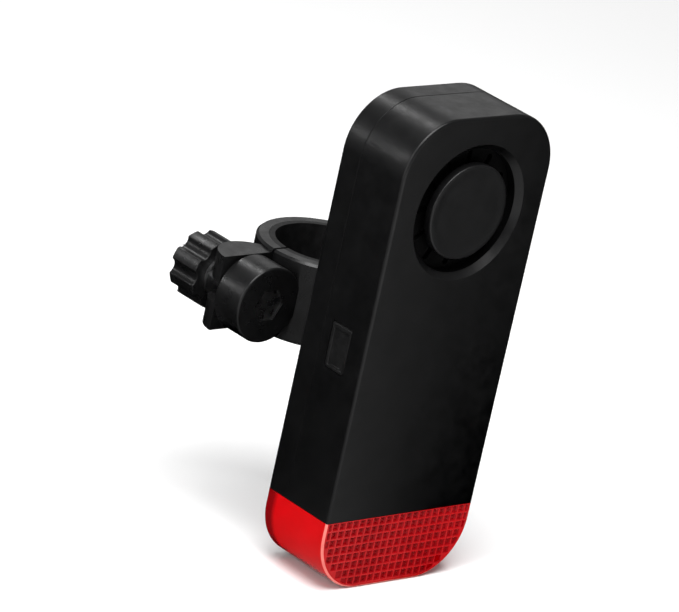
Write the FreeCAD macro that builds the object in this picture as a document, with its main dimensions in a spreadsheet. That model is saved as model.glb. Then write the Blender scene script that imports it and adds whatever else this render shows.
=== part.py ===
import FreeCAD, Part
import math
import os
import re
import Sketcher

# A bicycle alarm with a siren, a red tail light and a hinged seat-post clamp.
# The origin is the centre of the clamp's bore. +Z runs up the post, and the box
# stands behind the post, so its depth is counted along -Y from the bore's axis.

driving = {
    # case
    "boxWidth": 50.0, "boxHeight": 126.6, "boxDepth": 23.0, "cornerRadius": 15.4,
    "wall": 2.0, "shellDepth": 16.0, "edgeRound": 0.8, "lensHeight": 19.3, "lensWall": 1.8,
    "sealWidth": 0.8, "sealDepth": 0.7, "screwRadius": 1.25, "bossWall": 1.8, "headRadius": 2.4,
    "screwInset": 10.2, "lowScrewX": 19.5, "lowScrewRise": 5.6, "screwLength": 16.0,
    "fitGap": 0.03, "lensScrewX": 13.0, "lensBoss": 8.0, "headHeight": 1.5, "headGap": 0.2,
    # siren
    "sirenDrop": 25.3, "grooveRadius": 16.5, "grooveChamfer": 1.6, "capRadius": 12.65,
    "grooveDepth": 4.0, "capThickness": 2.2, "grilleThickness": 1.2, "stemRadius": 3.0,
    "hubRadius": 5.0, "slotWidth": 2.0, "slotCount": 12, "sirenRim": 1.8, "gasketThickness": 0.4,
    "meshThickness": 0.2, "chamberDepth": 9.0, "chamberWall": 1.2, "piezoThickness": 0.4,
    "piezoSeat": 3.2, "retainerHeight": 1.4, "postRadius": 2.5, "sirenPost": 12.0,
    # charging port and button
    "portDrop": 9.5, "portWide": 7.4, "portTall": 12.6, "portDeep": 1.8, "portBlock": 2.5,
    "portRound": 1.2, "flapGap": 0.15, "flapPin": 0.6, "pinReach": 0.6, "plugWide": 2.6,
    "plugTall": 8.4, "plugLong": 1.4, "socketWide": 9.0, "socketThick": 3.2, "socketLong": 7.3,
    "socketGap": 0.2, "buttonTall": 10.0, "buttonWide": 5.0, "buttonProud": 0.5,
    "buttonGap": 0.15, "buttonTravel": 0.6, "flangeWide": 1.0, "plungerSide": 1.9,
    "switchLong": 4.1, "switchTall": 6.4, "switchStep": 1.3, "plungerSunk": 1.5, "touchGap": 0.1,
    # electronics
    "boardThickness": 1.6, "boardRise": 10.0, "boardTop": 17.0, "boardSide": 2.6,
    "boardPostSide": 2.4, "boardPostInset": 4.0, "cellThickness": 5.0, "cellLeft": 11.8,
    "cellRight": 13.4, "cellTop": 14.0, "cellHeight": 46.0, "padThickness": 0.4,
    "trayHalf": 18.5, "trayTop": 1.0, "trayHeight": 11.0, "ledSide": 2.4, "ledHeight": 1.0,
    "ledPitch": 7.0, "ledTop": 4.0, "ledRow": 4.6, "ribbonHalf": 5.0, "ribbonThickness": 0.2,
    "ribbonLap": 2.0, "socketWall": 0.4, "padInset": 1.0, "sensorX": 16.5, "sensorLow": 22.0,
    "sensorRadius": 2.1, "sensorLong": 9.0, "coilX": 17.0, "coilLow": 16.0, "coilRadius": 2.8,
    "coilHeight": 3.0, "aerialInset": 1.0, "aerialRise": 7.5, "aerialRadius": 0.6, "aerialLong": 17.0,
    "leadLeft": 14.6, "leadWide": 4.2, "leadThick": 3.0, "leadLow": 11.5, "leadTall": 6.0,
    # clamp
    "postDiameter": 27.2, "linerThickness": 1.6, "ringWall": 3.2, "clampHeight": 22.0,
    "standOff": 23.0, "splitGap": 0.8, "hingeOut": 2.1, "pinRadius": 1.5, "knuckleRadius": 3.5,
    "knuckleGap": 0.3, "midKnuckle": 9.0, "pinHead": 0.8, "runGap": 0.05, "boltOut": 6.6,
    "boltRadius": 2.5, "boltReach": 26.0, "lugRadius": 10.2, "lugDepth": 9.0, "hexFlats": 8.0,
    "hexHead": 3.5, "hexSink": 4.0, "earRadius": 9.0, "earHeight": 20.0, "slotGap": 0.3,
    "washerThickness": 1.0, "washerRadius": 5.4, "knobRadius": 9.0, "knobLength": 9.4,
    "gripRadius": 2.2, "gripDepth": 1.3, "gripCount": 8, "insertRadius": 3.4,
    "insertLength": 5.0, "footWidth": 32.0, "footHeight": 36.0, "footThickness": 4.0,
    "footRound": 4.0, "neckWidth": 20.0, "footScrewX": 12.0, "footScrewZ": 14.0,
    "footBoltRadius": 1.5, "footHead": 2.9, "footInsert": 2.2, "footInsertLength": 4.6,
    "footInsertSink": 0.4, "clampEdge": 0.6,
}

doc = FreeCAD.newDocument("BicycleAlarm")
sheet = doc.addObject("Spreadsheet::Sheet", "Sizes")
for row, (alias, number) in enumerate(driving.items(), start=1):
    sheet.set(f"A{row}", alias)
    sheet.set(f"B{row}", str(number))
    sheet.setAlias(f"B{row}", alias)
doc.recompute()

# Places that several pieces share, as formulas on the driving sizes.
# Depths (d...) are along -Y, heights (z...) along Z.
dBack = "standOff"
dParting = "(standOff + boxDepth - shellDepth)"
dFront = "(standOff + boxDepth)"
dInside = "(standOff + boxDepth - wall)"
zTop = "(boxHeight / 2)"
zLens = "(lensHeight - boxHeight / 2)"
zSiren = "(boxHeight / 2 - sirenDrop)"
dGasket = "(standOff + boxDepth - grooveDepth)"
dGrille = f"({dGasket} - gasketThickness)"
dMesh = f"({dGrille} - grilleThickness)"
dChamber = f"({dMesh} - meshThickness)"
dChamberBack = f"({dChamber} - chamberDepth)"
dPiezo = f"({dChamberBack} + piezoSeat)"
seatRadius = "(grooveRadius + sirenRim)"
chamberInside = f"({seatRadius} - chamberWall)"
dPort = f"({dFront} - portDrop)"
dBoard = f"({dPort} - socketThick / 2)"
dBoardBack = f"({dBoard} - boardThickness)"
dLensScrew = "(standOff + wall + headRadius)"
xFlapPin = "(portDeep / 2 - boxWidth / 2)"
flapRound = "(portDeep / 2 - runGap)"
zFlapPin = "(portTall / 2 - portDeep / 2 - 2 * runGap)"
xPortFloor = "(portDeep - boxWidth / 2)"
xSocket = "(wall + portBlock - boxWidth / 2)"
xFlange = "(boxWidth / 2 - wall - touchGap)"
ringInside = "(postDiameter / 2 + linerThickness)"
ringOutside = "(postDiameter / 2 + linerThickness + ringWall)"
xBolt = f"({ringOutside} + boltOut)"
xHinge = f"({ringOutside} + hingeOut)"
zClamp = "(-clampHeight / 2)"
bossRadius = "(screwRadius + bossWall)"
xTopScrew = "(boxWidth / 2 - cornerRadius + screwInset * 0.7071)"
zTopScrew = f"({zTop} - cornerRadius + screwInset * 0.7071)"
boardHalf = "(boxWidth / 2 - wall - boardSide)"
zBoard = f"({zLens} + boardRise)"
zBoardPosts = ("(boardTop - boardPostInset)", f"({zBoard} + boardPostInset)")
sides = (1, -1)
screwPlaces = [(f"{s} * {x}", z) for s in sides
               for x, z in ((xTopScrew, zTopScrew), ("lowScrewX", f"({zLens} + lowScrewRise)"))]
footPlaces = [(f"{s} * footScrewX", f"{u} * footScrewZ") for s in sides for u in sides]
boardPlaces = [(f"{s} * ({boardHalf} - boardPostSide)", z) for s in sides for z in zBoardPosts]
lensPlaces = [(f"{s} * lensScrewX", f"-{dLensScrew}") for s in sides]
sirenPlaces = [(f"sirenPost * {round(math.cos(a), 4)}", f"{zSiren} + sirenPost * {round(math.sin(a), 4)}")
               for a in (math.radians(90 + 120 * i) for i in range(3))]
# The bolt, the knob and the pieces between them follow one another along +Y.
yWasher = "(earRadius + runGap)"
yKnob = "(earRadius + 2 * runGap + washerThickness)"


def bound(formula):
    """The formula with each size named as a cell of the sheet."""
    return re.sub(r"[A-Za-z]\w*", lambda m: "Sizes." + m[0] if m[0] in driving else m[0], str(formula))


def value(formula):
    return float(sheet.evalExpression(str(formula)))


class Outline:
    """A sketch on one of a body's own planes, each of its sizes bound to the sheet."""

    def __init__(self, body, plane, offset):
        self.sketch = body.newObject("Sketcher::SketchObject", body.Label + "_outline")
        support = [f for f in body.Origin.OriginFeatures if f.Role == plane + "_Plane"][0]
        self.sketch.AttachmentSupport = [(support, "")]
        self.sketch.MapMode = "FlatFace"
        self.sketch.setExpression("AttachmentOffset.Base.z", bound(offset))

    def limit(self, kind, places, formula):
        number = self.sketch.addConstraint(Sketcher.Constraint(kind, *places, value(formula)))
        self.sketch.renameConstraint(number, f"size{number}")
        self.sketch.setExpression(f"Constraints.size{number}", bound(formula))

    def relate(self, kind, *places):
        self.sketch.addConstraint(Sketcher.Constraint(kind, *places))

    def place(self, edge, point, x, y):
        self.limit("DistanceX", (-1, 1, edge, point), x)
        self.limit("DistanceY", (-1, 1, edge, point), y)

    def circle(self, x, y, radius):
        centre = FreeCAD.Vector(value(x), value(y), 0)
        edge = self.sketch.addGeometry(Part.Circle(centre, FreeCAD.Vector(0, 0, 1), value(radius)))
        self.limit("Radius", (edge,), radius)
        self.place(edge, 3, x, y)

    def polygon(self, corners):
        points = [FreeCAD.Vector(value(x), value(y), 0) for x, y in corners]
        edges = [self.sketch.addGeometry(Part.LineSegment(start, end))
                 for start, end in zip(points, points[1:] + points[:1])]
        for edge, following, (x, y) in zip(edges, edges[1:] + edges[:1], corners):
            self.relate("Coincident", edge, 2, following, 1)
            self.place(edge, 1, x, y)

    def rectangle(self, x0, x1, y0, y1):
        self.polygon([(x0, y0), (x1, y0), (x1, y1), (x0, y1)])

    def rounded(self, x0, x1, y0, y1, radius, low=True, high=True):
        """A rectangle whose low and high pairs of corners are each round or square."""
        left, right, bottom, top, r = (value(f) for f in (x0, x1, y0, y1, radius))
        r0, r1 = r * low, r * high
        runs = [((left + r0, bottom), (right - r0, bottom)), ((right, bottom + r0), (right, top - r1)),
                ((right - r1, top), (left + r1, top)), ((left, top - r1), (left, bottom + r0))]
        lines = [self.sketch.addGeometry(Part.LineSegment(FreeCAD.Vector(*start), FreeCAD.Vector(*end)))
                 for start, end in runs]
        firstArc = None
        for i, turned in enumerate((low, high, high, low)):
            here, following = lines[i], lines[(i + 1) % 4]
            if not turned:
                self.relate("Coincident", here, 2, following, 1)
                continue
            end, start = runs[i][1], runs[(i + 1) % 4][0]
            middle = (end[0], start[1]) if i % 2 == 0 else (start[0], end[1])
            circle = Part.Circle(FreeCAD.Vector(*middle), FreeCAD.Vector(0, 0, 1), r)
            angle = math.pi / 2 * (i - 1)
            arc = self.sketch.addGeometry(Part.ArcOfCircle(circle, angle, angle + math.pi / 2))
            self.relate("Tangent", here, 2, arc, 1)
            self.relate("Tangent", arc, 2, following, 1)
            if firstArc is None:
                firstArc = arc
                self.limit("Radius", (arc,), radius)
            else:
                self.relate("Equal", firstArc, arc)
        for line, kind, formula in zip(lines, ("DistanceY", "DistanceX") * 2, (y0, x1, y1, x0)):
            self.relate("Horizontal" if kind == "DistanceY" else "Vertical", line)
            self.limit(kind, (-1, 1, line, 1), formula)


def newBody(label):
    body = doc.addObject("PartDesign::Body", label)
    body.Label = label
    return body


def pad(body, plane, offset, length, shape, kind="Pad"):
    """Adds, or with kind Pocket cuts, an outline along its plane's normal from an offset."""
    outline = Outline(body, plane, offset)
    shape(outline)
    made = body.newObject("PartDesign::" + kind, body.Label + "_" + kind.lower())
    made.Profile = outline.sketch
    made.setExpression("Length", bound(length))
    made.Reversed = kind == "Pocket"
    return made


def pocket(body, plane, offset, length, shape):
    """A pocket that cuts nothing is refused."""
    doc.recompute()
    before = body.Shape.Volume
    made = pad(body, plane, offset, length, shape, "Pocket")
    doc.recompute()
    if body.Shape.Volume > before - 1e-3:
        raise ValueError(made.Label + " cuts nothing")
    return made


def soften(body, kind, amount, wanted):
    """Rounds or chamfers those edges of the body's last feature that wanted() picks."""
    doc.recompute()
    base = body.Tip
    names = [f"Edge{i}" for i, edge in enumerate(base.Shape.Edges, start=1) if wanted(edge)]
    if not names:
        raise ValueError(body.Label + " has no such edge to soften")
    made = body.newObject("PartDesign::" + kind, body.Label + "_" + kind.lower())
    made.Base = (base, names)
    made.setExpression("Radius" if kind == "Fillet" else "Size", bound(amount))


def sink(body, offset, places, radius, headRadius):
    """Countersunk holes right through, bored along the depth from a face at an offset."""
    outline = Outline(body, "XZ", offset)
    for x, z in places:
        outline.circle(x, z, radius)
    doc.recompute()
    hole = body.newObject("PartDesign::Hole", body.Label + "_hole")
    hole.Profile = outline.sketch
    doc.recompute()
    hole.Threaded = False
    hole.Reversed = True
    hole.DepthType = "ThroughAll"
    hole.setExpression("Diameter", bound(f"2 * ({radius})"))
    hole.HoleCutType = "Countersink"
    hole.HoleCutCustomValues = True
    hole.setExpression("HoleCutDiameter", bound(f"2 * ({headRadius})"))
    hole.HoleCutCountersinkAngle = 90


def atDepth(edge, depth):
    """Whether a whole edge lies at one depth."""
    box = edge.BoundBox
    return max(abs(box.YMin + depth), abs(box.YMax + depth)) < 1e-4


def rimAbove(depth, height):
    """Picks the case's edges at one depth, but not the one at its joint with its neighbour."""
    level = value(height)
    return lambda e: atDepth(e, value(depth)) and e.BoundBox.ZLength + abs(e.BoundBox.ZMax - level) > 1e-3


def circles(places, radius):
    def shape(outline):
        for x, y in places:
            outline.circle(x, y, radius)
    return shape


def rings(x, y, inner, outer):
    def shape(outline):
        outline.circle(x, y, outer)
        outline.circle(x, y, inner)
    return shape


def caseOutline(inset, low):
    """The case's round-topped outline, moved in by a wall, from a given height up."""
    return lambda outline: outline.rounded(f"{inset} - boxWidth / 2", f"boxWidth / 2 - {inset}", low,
                                           f"{zTop} - {inset}", f"cornerRadius - {inset}", low=False)


def lensOutline(inset, high):
    return lambda outline: outline.rounded(f"{inset} - boxWidth / 2", f"boxWidth / 2 - {inset}",
                                           f"{inset} - boxHeight / 2", high, f"cornerRadius - {inset}",
                                           high=False)


def hexagon(x, z, flats):
    """A hexagon with two corners to the sides."""
    def shape(outline):
        turns = [math.radians(60 * i) for i in range(6)]
        reach = f"{flats} / 2 * {round(1 / math.cos(math.pi / 6), 6)}"
        outline.polygon([(f"{x} + {reach} * {round(math.cos(a), 6)}",
                          f"{z} + {reach} * {round(math.sin(a), 6)}") for a in turns])
    return shape


def cuboid(label, x0, x1, d0, d1, z0, z1):
    """A plain cuboid between two X, two depths and two heights."""
    box = doc.addObject("Part::Box", label)
    box.Label = label
    for name, formula in (("Length", f"({x1}) - ({x0})"), ("Width", f"({d1}) - ({d0})"),
                          ("Height", f"({z1}) - ({z0})"), ("Placement.Base.x", x0),
                          ("Placement.Base.y", f"-({d1})"), ("Placement.Base.z", z0)):
        box.setExpression(name, bound(formula))
    return box


def rod(label, axis, x, d, z, radius, length, top=None):
    """A cylinder, or a cone where top is given, from one end's centre along depth, Z or X."""
    turns = {"depth": ((1, 0, 0), 90), "Z": ((0, 0, 1), 0), "X": ((0, 1, 0), 90)}
    direction, angle = turns[axis]
    made = doc.addObject("Part::Cylinder" if top is None else "Part::Cone", label)
    made.Label = label
    made.Placement = FreeCAD.Placement(FreeCAD.Vector(), FreeCAD.Vector(*direction), angle)
    sizes = [("Radius", radius)] if top is None else [("Radius1", radius), ("Radius2", top)]
    for name, formula in sizes + [("Height", length), ("Placement.Base.x", x),
                                  ("Placement.Base.y", f"-({d})"), ("Placement.Base.z", z)]:
        made.setExpression(name, bound(formula))
    return made


def join(label, base, tool, kind="Fuse"):
    made = doc.addObject("Part::" + kind, label)
    made.Label = label
    made.Base = base
    made.Tool = tool
    return made


def tube(label, axis, x, d, z, inner, outer, length):
    return join(label, rod(label + "_outside", axis, x, d, z, outer, length),
                rod(label + "_inside", axis, x, d, z, inner, length), "Cut")


def group(label, members):
    made = doc.addObject("Part::Compound", label)
    made.Label = label
    made.Links = members
    return made


def sunkScrew(label, x, z, face, radius, headRadius, length):
    """A countersunk screw that goes in along the depth from a face."""
    head = rod(label + "_head", "depth", x, face, z, headRadius, f"{headRadius} - {radius}", top=radius)
    return join(label, head, rod(label + "_shank", "depth", x, face, z, radius, length))


def makeFrontShell():
    body = newBody("front_shell")
    pad(body, "XZ", dParting, "shellDepth", caseOutline("0", zLens))
    soften(body, "Fillet", "edgeRound", rimAbove(dFront, zLens))
    pocket(body, "XZ", dParting, "shellDepth - wall", caseOutline("wall", f"{zLens} + wall"))
    pad(body, "XZ", dGasket, "grooveDepth - wall", circles([("0", zSiren)], seatRadius))
    pad(body, "XZ", dParting, "shellDepth - wall", circles(screwPlaces, bossRadius))
    pad(body, "XZ", f"{dPort} - portWide / 2 - pinReach - wall / 2", "portWide + 2 * pinReach + wall",
        lambda o: o.rectangle("wall / 2 - boxWidth / 2", xSocket, "-portTall / 2 - wall / 2",
                              "portTall / 2 + wall / 2"))
    pocket(body, "XZ", f"{dGasket} - wall", "grooveDepth + 2 * wall",
           circles([("0", zSiren)], "grooveRadius"))
    soften(body, "Chamfer", "grooveChamfer", lambda e: atDepth(e, value(dFront)) and len(e.Vertexes) == 1)
    pocket(body, "XZ", dParting, "shellDepth - 1.5 * wall", circles(screwPlaces, "screwRadius + fitGap"))
    # The charging port: its recess, the sockets for its flap's pins and the way to the connector.
    pocket(body, "YZ", "-boxWidth / 2", "portDeep",
           lambda o: o.rounded(f"-{dPort} - portWide / 2", f"portWide / 2 - {dPort}",
                               "-portTall / 2", "portTall / 2", "portRound", high=False))
    pocket(body, "XZ", f"{dPort} - portWide / 2 - pinReach", "portWide + 2 * pinReach",
           circles([(xFlapPin, zFlapPin)], "flapPin + runGap"))
    pocket(body, "YZ", f"{xPortFloor} - portDeep / 2", "portBlock + wall",
           lambda o: o.rounded(f"-{dPort} - socketThick / 2 - socketGap",
                               f"socketThick / 2 + socketGap - {dPort}",
                               "-socketWide / 2 - socketGap", "socketWide / 2 + socketGap", "socketThick / 2"))
    pocket(body, "YZ", "boxWidth / 2 - 1.5 * wall", "2 * wall",
           lambda o: o.rounded(f"-{dPort} - buttonWide / 2 - buttonGap",
                               f"buttonWide / 2 + buttonGap - {dPort}", "-buttonTall / 2 - buttonGap",
                               "buttonTall / 2 + buttonGap", "buttonWide / 2"))
    # The slot that the light's ribbon passes.
    pocket(body, "XY", f"{zLens} - wall / 2", "2 * wall",
           lambda o: o.rectangle("-ribbonHalf - socketGap", "ribbonHalf + socketGap",
                                 f"-{dBoard} - ribbonThickness - socketGap", f"socketGap - {dBoard}"))
    return body


def makeBackCover():
    body = newBody("back_cover")
    pad(body, "XZ", dBack, "boxDepth - shellDepth", caseOutline("0", zLens))
    soften(body, "Fillet", "edgeRound", rimAbove(dBack, zLens))
    pocket(body, "XZ", f"{dBack} + wall", "boxDepth - shellDepth - wall",
           caseOutline("wall", f"{zLens} + wall"))
    pad(body, "XZ", f"{dBack} + wall / 2", "boxDepth - shellDepth - wall / 2",
        circles(screwPlaces, bossRadius))
    pad(body, "XZ", f"{dBack} + wall / 2", "footInsertLength + footInsertSink + wall / 2",
        circles(footPlaces, "footInsert + bossWall"))
    pad(body, "XZ", f"{dBack} + wall / 2", f"{dBoardBack} - {dBack} - wall / 2",
        circles(boardPlaces, "postRadius"))
    pad(body, "XZ", f"{dBack} + wall / 2", f"{dChamberBack} - {dBack} - wall / 2",
        circles(sirenPlaces, "postRadius"))
    sink(body, dBack, screwPlaces, "screwRadius + fitGap", "headRadius + fitGap")
    pocket(body, "XZ", dBack, "footInsertLength + 2 * footInsertSink",
           circles(footPlaces, "footInsert + fitGap"))
    pocket(body, "XZ", f"{dBoardBack} - footInsertLength", "footInsertLength",
           circles(boardPlaces, "screwRadius + fitGap"))
    pocket(body, "XY", f"{zLens} - wall / 2", "2 * wall", circles(lensPlaces, "screwRadius + fitGap"))
    pocket(body, "XZ", f"{dParting} - sealDepth", "sealDepth", sealRing)
    return body


def sealRing(outline):
    """The seal's track, along the middle of the case's wall."""
    edge = "(wall - sealWidth) / 2"
    for inset in (edge, f"({edge} + sealWidth)"):
        caseOutline(inset, f"{zLens} + {inset}")(outline)


def lensRing(outline):
    """The light's seal, along the middle of the lens's rim."""
    edge = "(lensWall - sealWidth) / 2"
    for inset in (edge, f"({edge} + sealWidth)"):
        outline.rectangle(f"{inset} - boxWidth / 2", f"boxWidth / 2 - {inset}",
                          f"{inset} - {dFront}", f"-{dBack} - {inset}")


def makeSeals():
    case = newBody("case_seal")
    pad(case, "XZ", f"{dParting} - sealDepth", "sealDepth", sealRing)
    light = newBody("lens_seal")
    pad(light, "XY", f"{zLens} - sealDepth", "sealDepth", lensRing)
    return [case, light]


def makeLens():
    body = newBody("tail_lens")
    pad(body, "XZ", dBack, "boxDepth", lensOutline("0", zLens))
    soften(body, "Fillet", "edgeRound",
           lambda e: rimAbove(dFront, zLens)(e) or rimAbove(dBack, zLens)(e))
    pocket(body, "XZ", f"{dBack} + lensWall", "boxDepth - 2 * lensWall",
           lensOutline("lensWall", f"{zLens} + 1"))
    pad(body, "XY", f"{zLens} - lensBoss", "lensBoss", circles(lensPlaces, bossRadius))
    pocket(body, "XY", f"{zLens} - lensBoss + wall / 2", "lensBoss",
           circles(lensPlaces, "screwRadius + fitGap"))
    pocket(body, "XY", f"{zLens} - sealDepth", "2 * sealDepth", lensRing)
    return body


def makeScrews():
    cover = [sunkScrew(f"cover_screw_{i}", x, z, dBack, "screwRadius", "headRadius", "screwLength")
             for i, (x, z) in enumerate(screwPlaces)]
    lens = [join(f"lens_screw_{i}",
                 rod(f"lens_screw_{i}_head", "Z", x, dLensScrew, f"{zLens} + wall",
                      "headRadius - headGap", "headHeight"),
                 rod(f"lens_screw_{i}_shank", "Z", x, dLensScrew, f"{zLens} + wall - lensBoss",
                     "screwRadius", "lensBoss"))
            for i, (x, _) in enumerate(lensPlaces)]
    board = [join(f"board_screw_{i}",
                  rod(f"board_screw_{i}_head", "depth", x, dBoard, z, "headRadius - 0.2", "headHeight"),
                  rod(f"board_screw_{i}_shank", "depth", x, f"{dBoard} - footInsertLength", z,
                      "screwRadius", "footInsertLength"))
             for i, (x, z) in enumerate(boardPlaces)]
    foot = [sunkScrew(f"foot_screw_{i}", x, z, "(standOff - footThickness)", "footBoltRadius", "footHead",
                      "footThickness + footInsertLength") for i, (x, z) in enumerate(footPlaces)]
    inserts = [tube(f"foot_insert_{i}", "depth", x, f"{dBack} + footInsertSink", z,
                    "footBoltRadius + fitGap", "footInsert", "footInsertLength")
               for i, (x, z) in enumerate(footPlaces)]
    return [group("cover_screws", cover), group("lens_screws", lens), group("board_screws", board),
            group("foot_screws", foot), group("foot_inserts", inserts)]


def makeSiren():
    cap = newBody("siren_cap")
    pad(cap, "XZ", f"{dFront} - capThickness", "capThickness", circles([("0", zSiren)], "capRadius"))
    soften(cap, "Fillet", "edgeRound", lambda e: atDepth(e, value(dFront)))
    pad(cap, "XZ", dMesh, f"{dFront} - capThickness - {dMesh}", circles([("0", zSiren)], "stemRadius"))
    grille = newBody("siren_grille")
    pad(grille, "XZ", dMesh, "grilleThickness", circles([("0", zSiren)], seatRadius))
    pad(grille, "XZ", dGrille, f"{dFront} - capThickness - {dGrille}", circles([("0", zSiren)], "hubRadius"))
    pocket(grille, "XZ", dMesh, "boxDepth", circles([("0", zSiren)], "stemRadius + fitGap"))
    slot = pocket(grille, "XZ", dMesh, "2 * grilleThickness",
                  lambda o: o.rounded("-slotWidth / 2", "slotWidth / 2", f"{zSiren} + hubRadius + slotWidth",
                                      f"{zSiren} + grooveRadius - slotWidth / 2", "slotWidth / 2.01"))
    turns = grille.newObject("PartDesign::PolarPattern", "siren_grille_slots")
    turns.Originals = [slot]
    centre = grille.newObject("Sketcher::SketchObject", "siren_grille_centre")
    plane = [f for f in grille.Origin.OriginFeatures if f.Role == "XZ_Plane"][0]
    centre.AttachmentSupport = [(plane, "")]
    centre.MapMode = "FlatFace"
    centre.setExpression("AttachmentOffset.Base.y", bound(zSiren))
    turns.Axis = (centre, ["N_Axis"])
    turns.Angle = 360
    turns.setExpression("Occurrences", bound("slotCount"))
    grille.Tip = turns
    gasket = tube("siren_gasket", "depth", "0", dGrille, zSiren, "grooveRadius + runGap", seatRadius,
                  "gasketThickness")
    mesh = rod("siren_mesh", "depth", "0", dChamber, zSiren, seatRadius, "meshThickness")
    chamber = newBody("siren_chamber")
    pad(chamber, "XZ", dChamberBack, "chamberDepth", circles([("0", zSiren)], seatRadius))
    pocket(chamber, "XZ", dPiezo, "chamberDepth", circles([("0", zSiren)], chamberInside))
    pocket(chamber, "XZ", f"{dChamberBack} + chamberWall", "chamberDepth",
           circles([("0", zSiren)], f"{chamberInside} - chamberWall"))
    piezo = rod("piezo_disc", "depth", "0", dPiezo, zSiren, f"{chamberInside} - fitGap", "piezoThickness")
    retainer = tube("piezo_retainer", "depth", "0", f"{dPiezo} + piezoThickness", zSiren,
                    f"{chamberInside} - chamberWall", f"{chamberInside} - fitGap", "retainerHeight")
    return [cap, grille, gasket, mesh, chamber, piezo, retainer]


def makePortCover():
    """A rubber flap on two short pins, with a plug that fills the connector's mouth."""
    body = newBody("port_cover")
    half = "(portWide / 2 - flapGap)"
    inner, outer = f"{xFlapPin} + {flapRound}", f"{xFlapPin} - {flapRound}"
    pad(body, "XZ", f"{dPort} - {half}", f"2 * {half}", circles([(xFlapPin, zFlapPin)], flapRound))
    pad(body, "XZ", f"{dPort} - {half}", f"2 * {half}",
        lambda o: o.rectangle(outer, inner, "flapGap - portTall / 2", zFlapPin))
    soften(body, "Fillet", "portRound - flapGap",
           lambda e: e.BoundBox.XLength > value(flapRound) and e.BoundBox.ZMax < value("0 - portTall / 4")
           and e.BoundBox.YLength < 1e-4)
    pad(body, "XZ", f"{dPort} - portWide / 2 - pinReach + runGap", "portWide + 2 * pinReach - 2 * runGap",
        circles([(xFlapPin, zFlapPin)], "flapPin"))
    pad(body, "YZ", xFlapPin, f"{flapRound} + plugLong",
        lambda o: o.rounded(f"-{dPort} - plugWide / 2", f"plugWide / 2 - {dPort}", "-plugTall / 2",
                            "plugTall / 2", "plugWide / 2.01"))
    return body


def makeButton():
    body = newBody("power_button")
    grow = "buttonGap + flangeWide"
    for x, length, extra in ((f"{xFlange} - flangeWide", "flangeWide", grow),
                             (xFlange, "wall + touchGap + buttonProud", "0")):
        pad(body, "YZ", x, length,
            lambda o, e=extra: o.rounded(f"-{dPort} - buttonWide / 2 - ({e})",
                                         f"buttonWide / 2 + {e} - {dPort}",
                                         f"-buttonTall / 2 - ({e})", f"buttonTall / 2 + {e}",
                                         f"buttonWide / 2.01 + {e}"))
    soften(body, "Fillet", "buttonProud",
           lambda e: abs(e.BoundBox.XMin - value("boxWidth / 2 + buttonProud")) < 1e-4)
    xSwitch = f"({xFlange} - flangeWide - touchGap - plungerSide - switchStep)"
    plunger = cuboid("switch_plunger", f"{xSwitch} - plungerSunk", f"{xFlange} - flangeWide - touchGap",
                     f"{dPort} - plungerSide / 2", f"{dPort} + plungerSide / 2",
                     "-plungerSide / 2", "plungerSide / 2")
    case = cuboid("switch_case_block", f"{xSwitch} - switchLong", xSwitch, dBoard, f"{dBoard} + socketThick",
                  "-switchTall / 2", "switchTall / 2")
    way = cuboid("switch_case_way", f"{xSwitch} - plungerSunk - buttonTravel - runGap", f"{xSwitch} + 1",
                 f"{dPort} - plungerSide / 2 - runGap", f"{dPort} + plungerSide / 2 + runGap",
                 "-plungerSide / 2 - runGap", "plungerSide / 2 + runGap")
    return [body, plunger, join("switch_case", case, way, "Cut")]


def makeElectronics():
    board = newBody("main_board")
    pad(board, "XZ", dBoardBack, "boardThickness",
        lambda o: o.rectangle(f"-{boardHalf}", boardHalf, zBoard, "boardTop"))
    pocket(board, "XZ", dBoardBack, "boardThickness", circles(boardPlaces, "screwRadius + runGap"))
    # Each chip's left, right, bottom, top and height.
    chipPlaces = {"controller": (-4, 5, -3, 6, 1.0), "radio": (-9, 3, -20, -11, 1.4),
                  "driver": (6, 11, -27, -21, 1.2), "charger": (-10, -6, 10, 15, 1.0)}
    chips = [cuboid(name + "_chip", x0, x1, dBoard, f"{dBoard} + {height}", z0, z1)
             for name, (x0, x1, z0, z1, height) in chipPlaces.items()]
    return [
        board,
        group("board_chips", chips),
        join("charging_socket",
             cuboid("charging_socket_block", xSocket, f"{xSocket} + socketLong", dBoard,
                    f"{dBoard} + socketThick", "-socketWide / 2", "socketWide / 2"),
             cuboid("charging_socket_mouth", f"{xSocket} - 1", f"{xSocket} + socketLong - 1",
                    f"{dBoard} + socketWall", f"{dBoard} + socketThick - socketWall",
                    "socketWall - socketWide / 2", "socketWide / 2 - socketWall"), "Cut"),
        rod("vibration_sensor", "Z", "-sensorX", f"{dBoard} + sensorRadius", "-sensorLow", "sensorRadius",
            "sensorLong"),
        rod("boost_coil", "depth", "coilX", dBoard, "-coilLow", "coilRadius", "coilHeight"),
        rod("radio_aerial", "Z", f"aerialInset - {boardHalf}", f"{dBoard} + aerialRadius",
            f"{zBoard} + aerialRise", "aerialRadius", "aerialLong"),
        cuboid("battery_cell", "-cellLeft", "cellRight", f"{dInside} - padThickness - cellThickness",
               f"{dInside} - padThickness", "cellTop - cellHeight", "cellTop"),
        cuboid("battery_pad", "padInset - cellLeft", "cellRight - padInset", f"{dInside} - padThickness",
               dInside, "cellTop - cellHeight + 2 * padInset", "cellTop - 2 * padInset"),
        cuboid("battery_plug", "leadLeft", "leadLeft + leadWide", dBoard, f"{dBoard} + leadThick",
               "-leadLow", "leadTall - leadLow"),
    ]


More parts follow.
